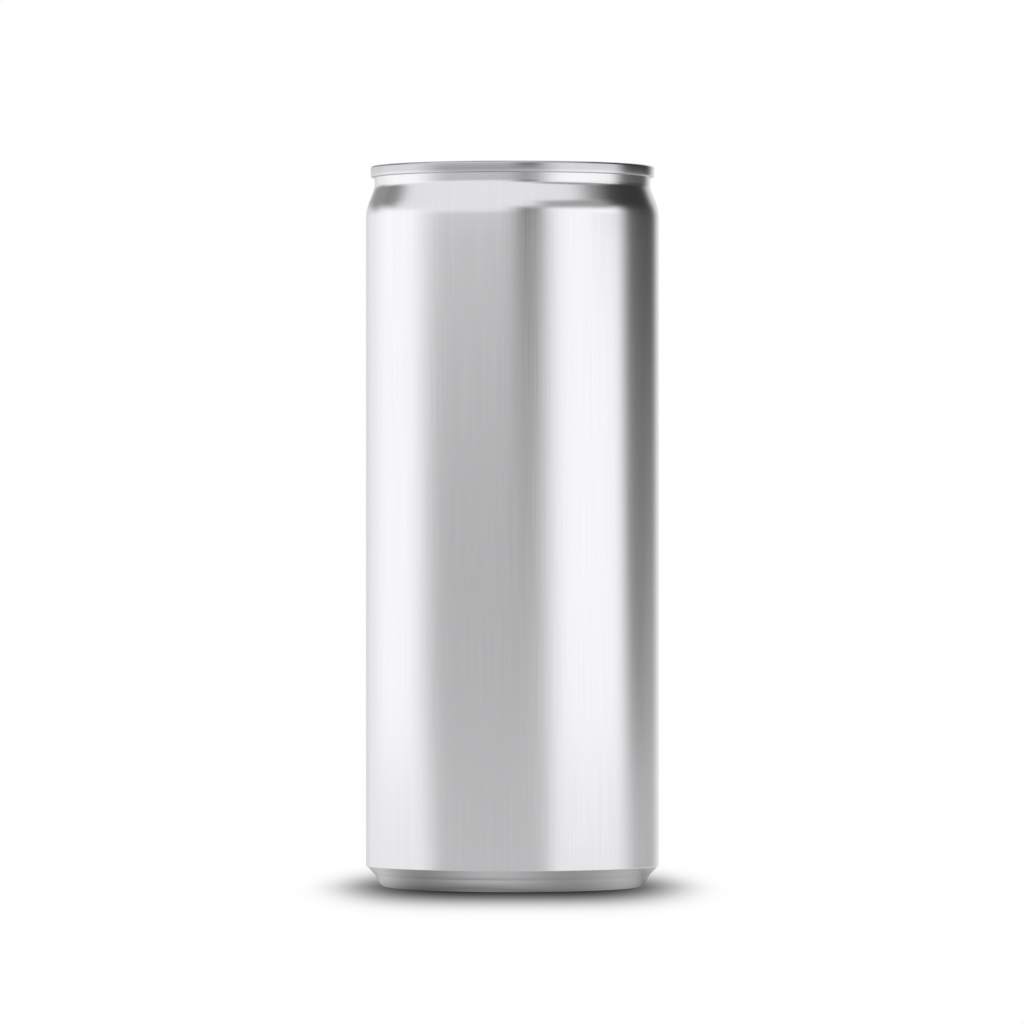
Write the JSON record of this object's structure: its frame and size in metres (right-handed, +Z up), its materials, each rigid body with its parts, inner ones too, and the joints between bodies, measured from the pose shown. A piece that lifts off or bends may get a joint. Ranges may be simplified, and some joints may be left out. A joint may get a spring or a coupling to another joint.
{
  "type": "slim drinks can",
  "caption": "Tall slim bare aluminium drinks can with a necked top, double-seamed lid, stay-on tab and domed base.",
  "frame": {"origin": "centre of the can's base, on the plane that the standing ring rests on", "axes": "+Z up along the can's axis, -Y towards the pour side of the lid, +Y towards the finger end of the tab"},
  "size_m": [0.053, 0.053, 0.1302],
  "materials": {
    "can_wall": "bare drawn aluminium with fine upright ironing lines",
    "end_metal": "lacquered rolled aluminium sheet",
    "compound": "dull grey sealing compound",
    "tear_metal": "lacquered rolled aluminium sheet",
    "tab_metal": "smooth rolled aluminium",
    "tongue_metal": "smooth rolled aluminium"
  },
  "bodies": {
    "can": {"can_body": "can_wall", "can_end": "end_metal", "seam_compound": "compound", "tab_tongue": "tongue_metal"},
    "tab": {"pull_tab": "tab_metal"},
    "flap": {"tear_panel": "tear_metal"}
  },
  "joints": [
    {"name": "tab_lift", "type": "hinge", "parent": "can", "child": "tab", "pos_m": [0, -0.0036, 0.12651], "axis": [1, 0, 0], "range_deg": [0, 90]},
    {"name": "tear_panel_swing", "type": "hinge", "parent": "can", "child": "flap", "pos_m": [-0.00865, -0.00535, 0.1259], "axis": [0.7071, 0.7071, 0], "range_deg": [0, 72]}
  ],
  "couplings": [
    {"joint": "tear_panel_swing", "follows": "tab_lift", "ratio": 0.8}
  ]
}
